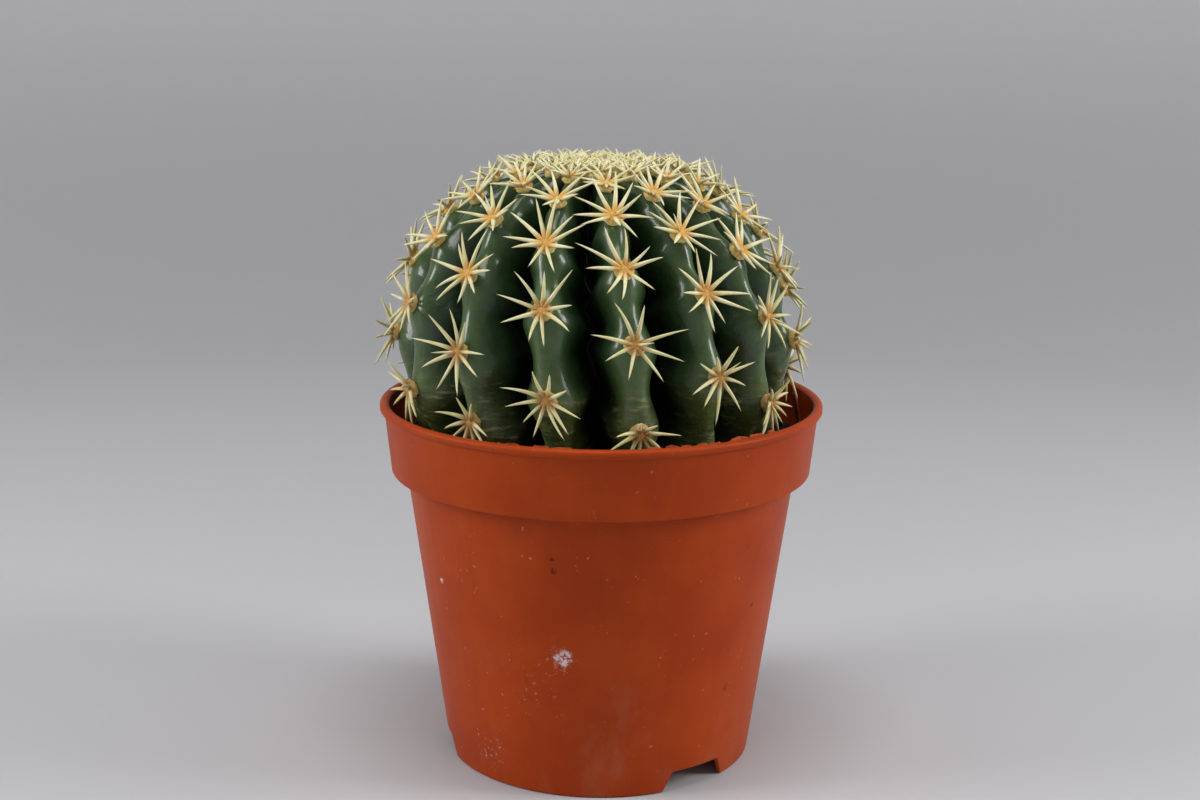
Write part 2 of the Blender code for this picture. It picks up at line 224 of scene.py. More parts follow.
def pot_section():
    """The wall from the floor's top, up inside, over the lip and down to its underside."""
    bead = lip_height / 2
    inner = band_top_radius - wall
    section = [(outer_wall(floor_top) - wall, floor_top)]
    section += [
        (outer_wall(ledge_height) - wall - 0.0001, ledge_height + wall - 0.0008),
        (outer_wall(ledge_height) - wall + 0.0006, ledge_height + wall),
        (band_foot_radius - wall - 0.0006, ledge_height + wall),
        (band_foot_radius - wall, ledge_height + wall + 0.0006),
        (inner, rim_height - 2 * lip_height),
    ]
    middle = (inner + lip_radius) / 2
    reach = (lip_radius - inner) / 2
    for step in range(lip_steps + 1):
        turn = math.pi * (1 - step / lip_steps)
        section.append(
            (middle + reach * math.cos(turn), rim_height - bead + bead * math.sin(turn))
        )
    section += [
        (lip_radius, rim_height - lip_height),
        (lip_radius - 0.0003, rim_height - lip_height - 0.0003),
        (band_top_radius, rim_height - lip_height - 0.0005),
    ]
    for share in (0.3, 0.65):
        radius = band_top_radius - band_draft * share
        section.append((radius, rim_height - lip_height - share * (band_height - lip_height)))
    section += [(band_foot_radius, ledge_height), (wall_top_radius, ledge_height)]
    for share in (0.9, 0.75, 0.6, 0.45, 0.3, 0.18):
        section.append((outer_wall(ledge_height * share), ledge_height * share))
    section += [
        (outer_wall(notch_height), notch_height),
        (foot_radius, 0),
        (foot_radius - wall, 0),
        (outer_wall(notch_height) - wall, notch_height),
        (outer_wall(floor_underside) - wall, floor_underside),
    ]
    return section


def open_notch(bm, centre):
    """Cuts a notch with slanted ends through the foot ring and lines its edge."""
    def turn_from_centre(vert):
        return (bearing(vert.co) - centre + math.pi) % math.tau - math.pi

    ring = [v for v in bm.verts if v.co.xy.length > foot_ring_inside]
    low = [v for v in ring if v.co.z < notch_height + 0.0001]
    turns = {vert: turn_from_centre(vert) for vert in low}
    share = notch_top_half / notch_foot_half
    for vert, turn in turns.items():
        if vert.co.z > notch_height / 2 and abs(turn) < 2 * notch_foot_half:
            beyond = abs(turn) - notch_foot_half
            moved = abs(turn) * share
            if beyond > 0:
                moved = notch_foot_half * share + beyond * (2 - share)
            spin = math.copysign(moved, turn) - turn
            vert.co = Matrix.Rotation(spin, 4, "Z") @ vert.co
    inside = {vert for vert, turn in turns.items() if abs(turn) < notch_foot_half + 0.001}
    gone = {f for v in inside for f in v.link_faces if all(w in inside for w in f.verts)}
    rim = {e for f in gone for e in f.edges if any(g not in gone for g in e.link_faces)}
    rim = [e for e in rim if not is_across_foot(e)]
    bmesh.ops.delete(bm, geom=list(gone), context="FACES")
    bmesh.ops.bridge_loops(bm, edges=[e for e in rim if e.is_valid])


def is_across_foot(edge):
    radii = [vert.co.xy.length for vert in edge.verts]
    return max(vert.co.z for vert in edge.verts) < 0.0001 and abs(radii[0] - radii[1]) > wall / 2


def level_loop(bm, height):
    """The open edges that lie at a height."""
    return [
        e for e in bm.edges
        if e.is_boundary and all(abs(v.co.z - height) < 0.00001 for v in e.verts)
    ]


def fill_floor(bm, height):
    """Fills the floor at a height, leaving its drain holes open, and returns their rims."""
    edges = level_loop(bm, height)
    rims = []
    for number in range(drain_count):
        around = first_notch + math.tau * number / drain_count
        spot = Vector((drain_circle * math.cos(around), drain_circle * math.sin(around), height))
        circle = bmesh.ops.create_circle(
            bm, segments=24, radius=drain_radius, matrix=Matrix.Translation(spot)
        )["verts"]
        rims.append(list({e for v in circle for e in v.link_edges}))
        edges = edges + rims[-1]
    bmesh.ops.triangle_fill(bm, edges=edges, use_beauty=True)
    return rims


bm = bmesh.new()
section = [bm.verts.new((0, -radius, height)) for radius, height in pot_section()]
strip = [bm.edges.new(pair) for pair in zip(section, section[1:])]
bmesh.ops.spin(
    bm, geom=section + strip, axis=(0, 0, 1), cent=(0, 0, 0), angle=math.tau,
    steps=180, use_merge=True,
)
bmesh.ops.remove_doubles(bm, verts=bm.verts, dist=0.000001)
for centre in notch_centres:
    open_notch(bm, centre)
upper_rims = fill_floor(bm, floor_top)
lower_rims = fill_floor(bm, floor_underside)
for upper, lower in zip(upper_rims, lower_rims):
    bmesh.ops.bridge_loops(bm, edges=upper + lower)
bmesh.ops.recalc_face_normals(bm, faces=bm.faces)

plastic = Finish("pot_plastic", {"Specular IOR Level": 0.13})
spot = plastic.place()
cloud = plastic.noise(spot, 0.022, 4)
streaks = plastic.noise(plastic.place((1, 1, 0.06)), 0.0034, 4, 0.7)
flow = plastic.noise(plastic.place((1, 1, 0.3)), 0.009, 4, 0.6)
grain = plastic.noise(spot, 0.00035, 2)
orange = plastic.mix(cloud.between(0.3, 0.7), (0.350, 0.038, 0.0022), (0.415, 0.052, 0.0038))
orange = plastic.mix(streaks.between(0.40, 0.75) * 0.18, orange, (0.260, 0.031, 0.0030))
orange = plastic.mix(flow.between(0.5, 0.8) * 0.20, orange, (0.470, 0.088, 0.014))
low_down = plastic.height().between(0.050, 0.004)
film = plastic.noise(plastic.place((1, 1, 0.5)), 0.011, 5, 0.65).between(0.50, 0.8)
orange = plastic.mix(film * (low_down * 0.20 + 0.05), orange, (0.42, 0.20, 0.12))
dust = plastic.noise(spot, 0.0011, 2, 0.5).between(0.69, 0.75)
dust_patches = plastic.noise(spot, 0.016, 3).between(0.44, 0.62)
specks = dust * dust_patches * 0.40
crumbled = plastic.noise(spot, 0.0012, 4, 0.75)


def on_wall(degrees, height):
    """A point on the outside of the tapered wall."""
    around = math.radians(degrees)
    radius = outer_wall(height)
    return radius * math.sin(around), -radius * math.cos(around), height


def smudge(degrees, height, reach, low, high):
    """A ragged patch, strongest at a point of the wall and gone at its reach."""
    near = plastic.away(spot, on_wall(degrees, height)).between(reach, reach * 0.15)
    return near * crumbled.between(low, high)


chalk_marks = (
    (-11.2, 0.0350, 0.0034, 0.40, 0.56), (-11.8, 0.0348, 0.0060, 0.52, 0.80),
    (-57.3, 0.0475, 0.0011, 0.30, 0.50), (-56.0, 0.0415, 0.0020, 0.50, 0.75),
    (-20.0, 0.0265, 0.0120, 0.56, 0.86), (-43.0, 0.0080, 0.0090, 0.52, 0.80),
    (-29.0, 0.0750, 0.0050, 0.52, 0.85), (-17.0, 0.0735, 0.0042, 0.52, 0.80),
    (152.0, 0.0300, 0.0100, 0.54, 0.90), (95.0, 0.0180, 0.0090, 0.56, 0.90),
    (48.0, 0.0230, 0.0040, 0.52, 0.85), (-100.0, 0.0560, 0.0060, 0.56, 0.90),
)
chip_marks = (
    (-13.3, 0.0565, 0.0013, 0.36, 0.56), (-13.6, 0.0590, 0.0009, 0.36, 0.56),
    (47.0, 0.0235, 0.0018, 0.46, 0.60), (55.7, 0.0425, 0.0012, 0.42, 0.56),
    (170.0, 0.0500, 0.0016, 0.44, 0.58), (118.0, 0.0350, 0.0012, 0.44, 0.58),
)
chalk = sum(smudge(*mark) for mark in chalk_marks)
chips = sum(smudge(*mark) for mark in chip_marks)
orange = plastic.mix(specks, orange, (0.60, 0.36, 0.26))
orange = plastic.mix(chips.between(0.0, 1.0) * 0.8, orange, (0.060, 0.012, 0.005))
orange = plastic.mix(chalk.between(0.0, 1.1) * 0.90, orange, (0.76, 0.68, 0.70))
worn = streaks * 0.08 + grain * 0.06 + film * 0.12 + specks * 0.3 + chalk * 0.25
relief = plastic.bump(streaks * 0.4 + flow, 0.00006)
relief = plastic.bump(chips + chalk * 0.5, 0.00015, 0.7, relief)
relief = plastic.bump(grain, 0.00001, 0.6, relief)
pot_skin = plastic.feed({"Base Color": orange, "Roughness": worn + 0.36, "Normal": relief})
pot = piece_from(bm, "pot_moulding", ["pot"], [pot_skin], math.radians(45))
rounding = pot.modifiers.new("worn_edges", "BEVEL")
rounding.width = 0.00025
rounding.segments = 2
rounding.limit_method = "ANGLE"
rounding.angle_limit = math.radians(50)


# ---- Soil -----------------------------------------------------------------------------
# Dark peat potting soil fills the pot and has settled a little below the rim. Its crumbs,
# bits of bark and a few pale fibres lie loose on it, pressed up to the ribs of the stem.

soil_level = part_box("soil")[1][2]
soil_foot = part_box("soil")[0][2]
soil_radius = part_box("soil")[1][0]
soil_shoulder_radius = wall_top_radius - wall - 0.0003
soil_foot_radius = outer_wall(floor_top) - wall - 0.0003
soil_segments = 220
soil_rings = 40
first_ring_radius = 0.0484
ring_width = 0.0006


def soil_height(x, y):
    """Height of the soil's surface: hollows, lumps and crumbs of three sizes."""
    at = Vector((x, y, 0.3))
    lumps = noise.noise(at / 0.014) * 0.0009 + noise.noise(at / 0.0045) * 0.0007
    crumbs = abs(noise.noise(at / 0.0016)) * 0.0011
    return soil_level - 0.0012 + lumps + crumbs


bm = bmesh.new()
ring = bmesh.ops.create_circle(bm, segments=soil_segments, radius=soil_radius - 0.0001)["verts"]
edge_now = list({e for v in ring for e in v.link_edges})
outer_edges = edge_now
for radius in [first_ring_radius - ring_width * step for step in range(soil_rings)]:
    grown = bmesh.ops.extrude_edge_only(bm, edges=edge_now)["geom"]
    edge_now = [g for g in grown if isinstance(g, bmesh.types.BMEdge)]
    for vert in {v for e in edge_now for v in e.verts}:
        vert.co.xy = vert.co.xy.normalized() * radius
    edge_now = [e for e in edge_now if all(abs(v.co.xy.length - radius) < 1e-6 for v in e.verts)]
bmesh.ops.edgenet_fill(bm, edges=edge_now)
for vert in bm.verts:
    vert.co.z = soil_height(vert.co.x, vert.co.y)
for radius, height in (
    (soil_radius - 0.0002, ledge_height + wall + 0.0003),
    (soil_shoulder_radius, ledge_height + wall + 0.0003),
    (soil_foot_radius, soil_foot),
):
    grown = bmesh.ops.extrude_edge_only(bm, edges=outer_edges)["geom"]
    verts = [g for g in grown if isinstance(g, bmesh.types.BMVert)]
    for vert in verts:
        vert.co.xy = vert.co.xy.normalized() * radius
        vert.co.z = height
    outer_edges = list({e for v in verts for e in v.link_edges if all(w in verts for w in e.verts)})
bmesh.ops.edgenet_fill(bm, edges=outer_edges)
bmesh.ops.recalc_face_normals(bm, faces=bm.faces)

peat = Finish("peat_soil", {"Specular IOR Level": 0.35})
spot = peat.place()
crumb = peat.noise(spot, 0.0012, 5, 0.7)
patch = peat.noise(spot, 0.009, 3)
fleck = peat.noise(spot, 0.0007, 1).between(0.70, 0.74)
earth = peat.mix(crumb.between(0.3, 0.75), (0.006, 0.0045, 0.0035), (0.052, 0.034, 0.022))
earth = peat.mix(patch.between(0.5, 0.8) * 0.5, earth, (0.055, 0.036, 0.022))
earth = peat.mix(fleck * 0.6, earth, (0.20, 0.14, 0.085))
relief = peat.bump(crumb, 0.0008)
earth_skin = peat.feed({"Base Color": earth, "Roughness": crumb * 0.2 + 0.75, "Normal": relief})
piece_from(bm, "potting_soil", ["soil"], [earth_skin], math.radians(80))


# ---- Stem -----------------------------------------------------------------------------
# One flattened green globe grown in fifteen ribs, which run from the crown down under the
# soil. Each rib swells round its areoles and waves from side to side between them. The
# skin is waxy and dark, paler on the crests, and corky and wrinkled near the soil; its
# flanks and furrows are painted nearly black as painted shade.

stem_radius = 0.0469
stem_centre = rim_height + 0.0135
stem_half_height = stem_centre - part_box("cactus_stem")[0][2]
stem_middle_x = -0.0016
squareness = 2.11
crown_dip = 0.0040
crown_dip_radius = 0.0120
rib_count = 15
first_rib = math.radians(5.4)
rib_crowding = math.radians(6.1)
rib_twist = -0.089
furrow_depth = 0.0185
furrow_start_radius = 0.0135
waist_depth = 0.0015
rib_sway = 0.13
flank_width = 0.85
flank_swelling = 0.06
areole_spread = math.radians(1.675)
first_phase, phase_turns, phase_wander = 3.96, 7, 0.15
swelling_lag, crest_lag = 0.13, 0.05
rib_step = math.tau / rib_count


def areole_order(latitude):
    """How many areoles down from the crown a latitude lies, as a real number."""
    return math.sqrt(max(math.pi / 2 - latitude, 0) / areole_spread)


def order_latitude(order):
    return math.pi / 2 - areole_spread * order * order


def rib_phase(rib):
    """Where the areoles of a rib stand in the count from the crown."""
    turn = rib / rib_count
    wander = phase_wander * math.sin(math.tau * turn + rib_step / 2)
    return (first_phase + phase_turns * turn - wander) % 1


def globe(latitude):
    """(radius, height) on the envelope that the crests reach at their areoles."""
    power = 2 / squareness
    radius = stem_radius * abs(math.cos(latitude)) ** power
    rise = stem_half_height * abs(math.sin(latitude)) ** power
    height = stem_centre + math.copysign(rise, latitude)
    if latitude > 0:
        height -= crown_dip * math.exp(-((radius / crown_dip_radius) ** 2))
    return radius, height


def globe_normal(latitude):
    small = math.radians(0.5)
    upper = globe(min(latitude + small, math.pi / 2))
    lower = globe(max(latitude - small, -math.pi / 2))
    return Vector((upper[1] - lower[1], lower[0] - upper[0])).normalized()


def swelling(rib, latitude):
    """1 where a rib is fullest, just below an areole, and -1 where it is waisted."""
    turn = math.tau * (areole_order(latitude) - rib_phase(rib) - swelling_lag)
    return math.cos(turn + 0.35 * math.sin(turn))


def crest_height(rib, latitude):
    """How far a crest falls short of the globe: nothing at an areole."""
    turn = math.tau * (areole_order(latitude) - rib_phase(rib) - crest_lag)
    return waist_depth * math.cos(latitude) * (1 - math.cos(turn)) / 2


def stem_point(rib_place, latitude):
    """A point of the ribbed skin, with how near the crest it is."""
    rib = round(rib_place)
    across = 2 * (rib_place - rib)
    side = 1 if across >= 0 else -1
    own = swelling(rib, latitude)
    beside = swelling(rib + side, latitude)
    sway = rib_sway * math.cos(latitude) * (own - beside) / 2
    azimuth = rib_step * (rib + across / 2 * (1 + sway)) + first_rib + rib_twist * latitude
    azimuth += rib_crowding * math.cos(azimuth)
    radius, height = globe(latitude)
    fade = 1 - math.exp(-((radius / furrow_start_radius) ** 2))
    flank = min(1, abs(across) / (flank_width + flank_swelling * own))
    crest = (1 - flank ** 2.3) ** 0.60
    depth = furrow_depth * fade * (1 - crest)
    depth += crest_height(rib, latitude) * crest
    normal = globe_normal(latitude)
    radius -= depth * normal.x
    height -= depth * normal.y
    x = stem_middle_x + radius * math.sin(azimuth)
    return Vector((x, -radius * math.cos(azimuth), height)), crest


columns_per_rib = 18
stem_columns = rib_count * columns_per_rib
stem_rows = 190
row_crowding = 1.05
wrinkles_from, wrinkles_over = 0.100, 0.020
bm = bmesh.new()
bmesh.ops.create_uvsphere(bm, u_segments=stem_columns, v_segments=stem_rows, radius=1)
crest_layer = bm.verts.layers.float.new("crest")
age_layer = bm.verts.layers.float.new("age")
for vert in bm.verts:
    column = round(bearing(vert.co) / math.tau * stem_columns) % stem_columns
    row = round(math.acos(max(-1, min(1, vert.co.z))) / math.pi * stem_rows)
    latitude = math.pi / 2 - math.pi * (row / stem_rows) ** row_crowding
    point, crest = stem_point(column / columns_per_rib, latitude)
    vert[crest_layer] = crest
    vert[age_layer] = areole_order(latitude) / 8
    outward = (point - Vector((stem_middle_x, 0, stem_centre))).normalized()
    dents = noise.noise(point / 0.011) * 0.00035 + noise.noise(point / 0.0042) * 0.00010
    old = max(0.0, min(1.0, (wrinkles_from - point.z) / wrinkles_over)) * crest
    pleats = noise.noise(Vector((point.x / 0.008, point.y / 0.008, point.z / 0.0011)))
    vert.co = point + outward * (dents - 0.0003 + pleats * 0.00030 * old)
bmesh.ops.recalc_face_normals(bm, faces=bm.faces)

skin = Finish("waxy_skin", {
    "Subsurface Weight": 0.08, "Subsurface Radius": (0.4, 1.0, 0.2),
    "Subsurface Scale": 0.0010, "Specular IOR Level": 0.25,
    "Coat Roughness": 0.17, "Coat IOR": 1.45,
})
spot = skin.place()
crest = skin.carried("crest")
age = skin.carried("age")
mottle = skin.noise(spot, 0.006, 5, 0.6)
fine = skin.noise(spot, 0.0012, 3, 0.6)
pores = skin.noise(spot, 0.00028, 2)
old_part = skin.height().between(0.106, 0.082)
# Painted shade: away from the crests the skin's colour falls to nearly black in the flanks and
# furrows.
skin_colour_and_shade = skin.mix(crest.between(0.35, 1.0), (0.0012, 0.0030, 0.0010), (0.0220, 0.0520, 0.0150))
skin_colour_and_shade = skin.mix(mottle.between(0.35, 0.7) * crest * 0.5, skin_colour_and_shade, (0.0260, 0.0640, 0.0200))
ridge = crest.between(0.80, 1.0) * mottle.between(0.25, 0.55)
skin_colour_and_shade = skin.mix(ridge * age.between(0.30, 0.75) * 0.60, skin_colour_and_shade, (0.068, 0.125, 0.026))
yellowing = old_part * crest.between(0.45, 1.0) * mottle.between(0.25, 0.6)
skin_colour_and_shade = skin.mix(yellowing * 0.70, skin_colour_and_shade, (0.120, 0.130, 0.028))
pleat = skin.noise(skin.place((0.20, 0.20, 1)), 0.0011, 4, 0.6)
cork = old_part * crest.between(0.35, 0.9) * pleat.between(0.52, 0.66)
cork = cork * skin.noise(spot, 0.0045, 3).between(0.42, 0.58)
skin_colour_and_shade = skin.mix(cork * 0.80, skin_colour_and_shade, (0.360, 0.300, 0.140))
bloom = skin.noise(skin.place((1, 1, 0.4)), 0.0032, 5, 0.7).between(0.48, 0.8)
skin_colour_and_shade = skin.mix(bloom * crest * 0.12, skin_colour_and_shade, (0.13, 0.17, 0.11))
relief = skin.bump(mottle, 0.0006)
relief = skin.bump(fine, 0.00014, 0.9, relief)
relief = skin.bump(pleat * old_part, 0.0007, 0.9, relief)
relief = skin.bump(pores, 0.00002, 0.7, relief)
dull = bloom * 0.10 + old_part * 0.12 + fine * 0.08 - crest * 0.10
stem_skin = skin.feed({
    "Base Color": skin_colour_and_shade, "Roughness": dull + 0.48,
    "Coat Weight": crest.between(0.50, 0.95) * (0.85 - old_part * 0.40), "Normal": relief,
})
piece_from(bm, "cactus_stem_skin", ["cactus_stem"], [stem_skin], math.radians(180))


# ---- Spine clusters -------------------------------------------------------------------
# Every areole is a round cushion of short golden felt. Eight to ten awl-shaped, horny,
# slightly bent spines stand round it like a star. They are cream, golden at the root, and
# those of the oldest areoles, near the soil, are shorter, more bent and brown at the root.

cushion_radius = 0.0022
cushion_height = 0.0013
felt_hairs = 110
hair_thickness = 0.00006
spine_length, young_shorter, lowest_shorter = 0.0092, 0.0030, 0.0020
central_spine_length, central_spine_thickness = 0.0050, 0.00075
spine_sides = 7
spine_steps = 7


def new_growth():
    """An empty bmesh whose points carry their place along a spine and their age."""
    bm = bmesh.new()
    bm.verts.layers.float.new("along")
    bm.verts.layers.float.new("old")
    return bm


def pattern_from(bm, name, material_index):
    """A mesh that is copied many times into the pieces."""
    bmesh.ops.recalc_face_normals(bm, faces=bm.faces)
    for face in bm.faces:
        face.material_index = material_index
    mesh = bpy.data.meshes.new(name)
    bm.to_mesh(mesh)
    bm.free()
    return mesh


def add_copy(bm, pattern):
    """Adds a copy of a pattern and gives back its points."""
    known = len(bm.verts)
    bm.from_mesh(pattern)
    bm.verts.ensure_lookup_table()
    return bm.verts[known:]


bm = new_growth()
shares = [step / spine_steps for step in range(spine_steps + 1)]
outline = [(0, 0)] + [((1 - share) ** 0.62, share) for share in shares]
line = [bm.verts.new((radius, 0, share)) for radius, share in outline]
strip = [bm.edges.new(pair) for pair in zip(line, line[1:])]
bmesh.ops.spin(
    bm, geom=line + strip, axis=(0, 0, 1), cent=(0, 0, 0), angle=math.tau,
    steps=spine_sides, use_merge=True,
)
bmesh.ops.remove_doubles(bm, verts=bm.verts, dist=0.0001)
for vert in bm.verts:
    vert[bm.verts.layers.float["along"]] = vert.co.z
awl = pattern_from(bm, "awl", 0)

bm = new_growth()
bmesh.ops.create_cone(
    bm, cap_ends=True, segments=3, radius1=1, radius2=0.25, depth=1,
    matrix=Matrix.Translation((0, 0, 0.5)),
)
hair = pattern_from(bm, "hair", 1)

bm = new_growth()
bmesh.ops.create_icosphere(bm, subdivisions=3, radius=1)
cushion = pattern_from(bm, "cushion", 1)


def areole_frame(rib, order):
    """Foot, outward, upward and sideways directions of an areole on a rib's crest."""
    latitude = order_latitude(order)
    small = math.radians(1.2)
    foot = stem_point(rib, latitude)[0]
    above = stem_point(rib, min(latitude + small, math.pi / 2 - 0.001))[0]
    up = (above - stem_point(rib, latitude - small)[0]).normalized()
    around = bearing(foot, stem_middle_x)
    beside = Vector((math.cos(around), math.sin(around), 0))
    outward = beside.cross(up).normalized()
    return foot, outward, up, beside


def grow_spine(bm, root, heading, sag, length, thickness):
    """A round awl that tapers to a point and bends towards sag."""
    side = heading.orthogonal().normalized()
    other = heading.cross(side)
    for vert in add_copy(bm, awl):
        share = vert.co.z
        middle = root + (heading + sag * share) * length * share
        vert.co = middle + (side * vert.co.x + other * vert.co.y) * thickness / 2


def grow_felt(bm, chance, foot, axes, radius, height, hairs):
    """A low cushion with short hairs standing on it. axes is side, up and outward."""
    side, up, outward = axes
    along_layer = bm.verts.layers.float["along"]
    for vert in add_copy(bm, cushion):
        unit = vert.co.copy()
        rough = 1 + 0.22 * noise.noise(unit * 2.6 + foot * 900)
        flat = (side * unit.x + up * unit.y) * radius * rough
        vert.co = foot + flat + outward * unit.z * height * rough
        vert[along_layer] = -max(0.0, unit.z)
    for number in range(hairs):
        turn = chance.uniform(0, math.tau)
        rise = chance.uniform(0.05, 1)
        reach = math.sqrt(1 - rise * rise)
        away = side * math.cos(turn) + up * math.sin(turn)
        root = foot + away * reach * radius * 0.95 + outward * rise * height * 0.9
        heading = away * (reach + chance.uniform(-0.3, 0.3)) + outward * (rise * 0.7 + 0.3)
        heading += up * chance.uniform(-0.3, 0.3)
        spin = heading.normalized().to_track_quat("Z", "Y").to_matrix()
        length = chance.uniform(0.0004, 0.0009)
        for vert in add_copy(bm, hair):
            vert[along_layer] = -rise * (1 - 0.5 * vert.co.z)
            vert.co = root + spin @ Vector(
                (vert.co.x * hair_thickness, vert.co.y * hair_thickness, vert.co.z * length)
            )


spine = Finish("horny_spine", {
    "Subsurface Weight": 0.2, "Subsurface Radius": (1.0, 0.7, 0.3),
    "Subsurface Scale": 0.0008, "Specular IOR Level": 0.5,
})
along = spine.carried("along")
old = spine.carried("old")
spot = spine.place()
tone = spine.noise(spot, 0.0030, 2)
cream = spine.mix(tone.between(0.3, 0.7), (0.74, 0.68, 0.34), (0.88, 0.84, 0.56))
root_tone = spine.mix(old.between(0.55, 1.0), (0.74, 0.42, 0.085), (0.30, 0.085, 0.018))
ivory = spine.mix(along.between(0.04, 0.34), root_tone, cream)
ivory = spine.mix(old.between(0.6, 1.0) * 0.40, ivory, (0.58, 0.48, 0.14))
tip = along.between(0.86, 1.0)
ivory = spine.mix(tip * 0.40, ivory, (0.62, 0.50, 0.24))
relief = spine.bump(spine.noise(spot, 0.0005, 3), 0.00008)
horn = spine.feed({"Base Color": ivory, "Roughness": tone * 0.15 + 0.38, "Normal": relief})

wool = Finish("areole_felt", {
    "Sheen Weight": 0.3, "Sheen Roughness": 0.4, "Subsurface Weight": 0.2,
    "Subsurface Radius": (1.0, 0.6, 0.3), "Subsurface Scale": 0.0008,
})
spot = wool.place()
tuft = wool.noise(spot, 0.0006, 4, 0.7)
old = wool.carried("old")
heart = wool.carried("along").between(-0.55, -0.95)
tan = wool.mix(tuft.between(0.3, 0.7), (0.88, 0.57, 0.120), (0.98, 0.82, 0.36))
tan = wool.mix(old.between(0.50, 0.0) * 0.6, tan, (0.90, 0.80, 0.42))
tan = wool.mix(heart * old.between(0.2, 0.6) * 0.75, tan, (0.80, 0.36, 0.050))
tan = wool.mix(old.between(0.6, 1.0) * 0.55, tan, (0.38, 0.145, 0.035))
relief = wool.bump(tuft, 0.0004)
felt = wool.feed({"Base Color": tan, "Roughness": 0.9, "Normal": relief})

growth_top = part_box("crown")[1][2] - 0.0004
part_low, part_high = cad_bounds
tip_margin = 0.0003


def has_room(point):
    """Whether a point of a spine is clear of the rim and the soil, and within the part."""
    for axis in range(2):
        if not part_low[axis] + tip_margin < point[axis] < part_high[axis] - tip_margin:
            return False
    if point.z > rim_height + 0.0008:
        return point.z < growth_top
    return point.xy.length < band_top_radius - wall - 0.0008 and point.z > soil_level - 0.0005


def fitted(root, heading, sag, length):
    """A spine's length, less whatever would reach the pot, the soil or out of the part."""
    share = 1.0
    while share > 0.3:
        ways = [(heading + sag * share * part) * share * part for part in (0.4, 0.6, 0.8, 1)]
        if all(has_room(root + way * length) for way in ways):
            break
        share -= 0.05
    return length * share


def grow_areole(bm, chance, rib, order):
    """One areole with its felt and its spines."""
    foot, outward, up, beside = areole_frame(rib, order)
    aged = min(1.0, max(0.0, (order - 1.5) / 6.5))
    young = 1 - min(1.0, max(0.0, (order - 2.2) / 3.2))
    lowest = max(0.0, (order - 6.9) / 1.1)
    radius = cushion_radius * (1 - 0.3 * young)
    grow_felt(bm, chance, foot, (beside, up, outward), radius, cushion_height, felt_hairs)
    count = chance.choice((8, 9, 9, 10))
    rise = math.radians(22 + 20 * young)
    start = chance.uniform(-0.25, 0.25)
    for number in range(count):
        turn = math.tau * (number + 0.5) / count + start + chance.uniform(-0.17, 0.17)
        away = up * math.cos(turn) + beside * math.sin(turn)
        lift = rise + math.radians(chance.uniform(-9, 10)) + 0.12 * math.cos(turn)
        heading = away * math.cos(lift) + outward * math.sin(lift)
        heading = (heading + up * (0.10 * (1 - lowest) - 0.30 * lowest)).normalized()
        length = spine_length - young_shorter * young - lowest_shorter * lowest
        length *= chance.uniform(0.80, 1.12)
        length *= 1 + 0.10 * math.cos(turn) * (1 - 2 * lowest)
        bend = 0.21 + 0.06 * lowest
        sag = beside * chance.uniform(-bend, bend) - outward * chance.uniform(0.0, 0.14)
        sag -= up * chance.uniform(0.0, 0.08 + 0.22 * lowest)
        root = foot + away * radius * 0.45 + outward * cushion_height * 0.6
        thickness = chance.uniform(0.00098, 0.00128) * (1 - 0.15 * young)
        grow_spine(bm, root, heading, sag, fitted(root, heading, sag, length), thickness)
    if chance.uniform(0, 1) < 0.4:
        swing = chance.uniform(0, math.tau)
        away = up * math.cos(swing) + beside * math.sin(swing)
        heading = (outward + away * chance.uniform(0.5, 0.9)).normalized()
        root = foot + away * 0.0004 + outward * cushion_height * 0.7
        sag = away * chance.uniform(0.0, 0.2)
        length = fitted(root, heading, sag, central_spine_length)
        grow_spine(bm, root, heading, sag, length, central_spine_thickness)
    old_layer = bm.verts.layers.float["old"]
    for vert in bm.verts:
        vert[old_layer] = aged


chance = random.Random(7)
first_outer_order, last_order, lowest_order = 4.6, 8.15, 7.9
for rib in range(rib_count):
    order = math.ceil(first_outer_order - rib_phase(rib)) + rib_phase(rib)
    number = 1
    while order < last_order:
        bm = new_growth()
        grow_areole(bm, chance, rib, min(order, lowest_order))
        place_name = f"rib{rib + 1:02d}_{number}"
        piece_from(
            bm, "areole_" + place_name, ["spines_" + place_name], [horn, felt],
            math.radians(60),
        )
        order += 1
        number += 1


# ---- Crown ----------------------------------------------------------------------------
# At the top the youngest areoles crowd together in a slight hollow. Their pale felt runs
# together, and their spines are shorter, paler and nearly upright.

first_young_order = 2.1
heart_radius, heart_height, heart_hairs = 0.0075, 0.0016, 500
crown_bm = new_growth()
for rib in range(rib_count):
    order = math.ceil(first_young_order - rib_phase(rib)) + rib_phase(rib)
    while order < first_outer_order:
        bm = new_growth()
        grow_areole(bm, chance, rib, order)
        areole = bpy.data.meshes.new("young_areole")
        bm.to_mesh(areole)
        bm.free()
        crown_bm.from_mesh(areole)
        order += 1
bm = new_growth()
top = Vector((stem_middle_x, 0, globe(math.pi / 2)[1]))
level = (Vector((1, 0, 0)), Vector((0, 1, 0)), Vector((0, 0, 1)))
grow_felt(bm, chance, top, level, heart_radius, heart_height, heart_hairs)
heart_felt = bpy.data.meshes.new("heart_felt")
bm.to_mesh(heart_felt)
bm.free()
crown_bm.from_mesh(heart_felt)
piece_from(
    crown_bm, "crown_of_young_areoles", ["crown"], [horn, felt],
    math.radians(60),
)


# ---- Loose grit -----------------------------------------------------------------------
# Crumbs of peat and bark, a little pale grit and short root fibres lie on the soil in the
# gap between the stem and the rim. A few reddish flakes lean against the inside of the rim.

nearest_crumb, furthest_crumb = 0.033, 0.0478


def loose_spot(chance, nearest, furthest):
    """A spot on the soil between two distances from the pot's axis."""
    around = chance.uniform(0, math.tau)
    out = chance.uniform(nearest, furthest)
    x, y = out * math.sin(around), -out * math.cos(around)
    return Vector((x, y, soil_height(x, y)))


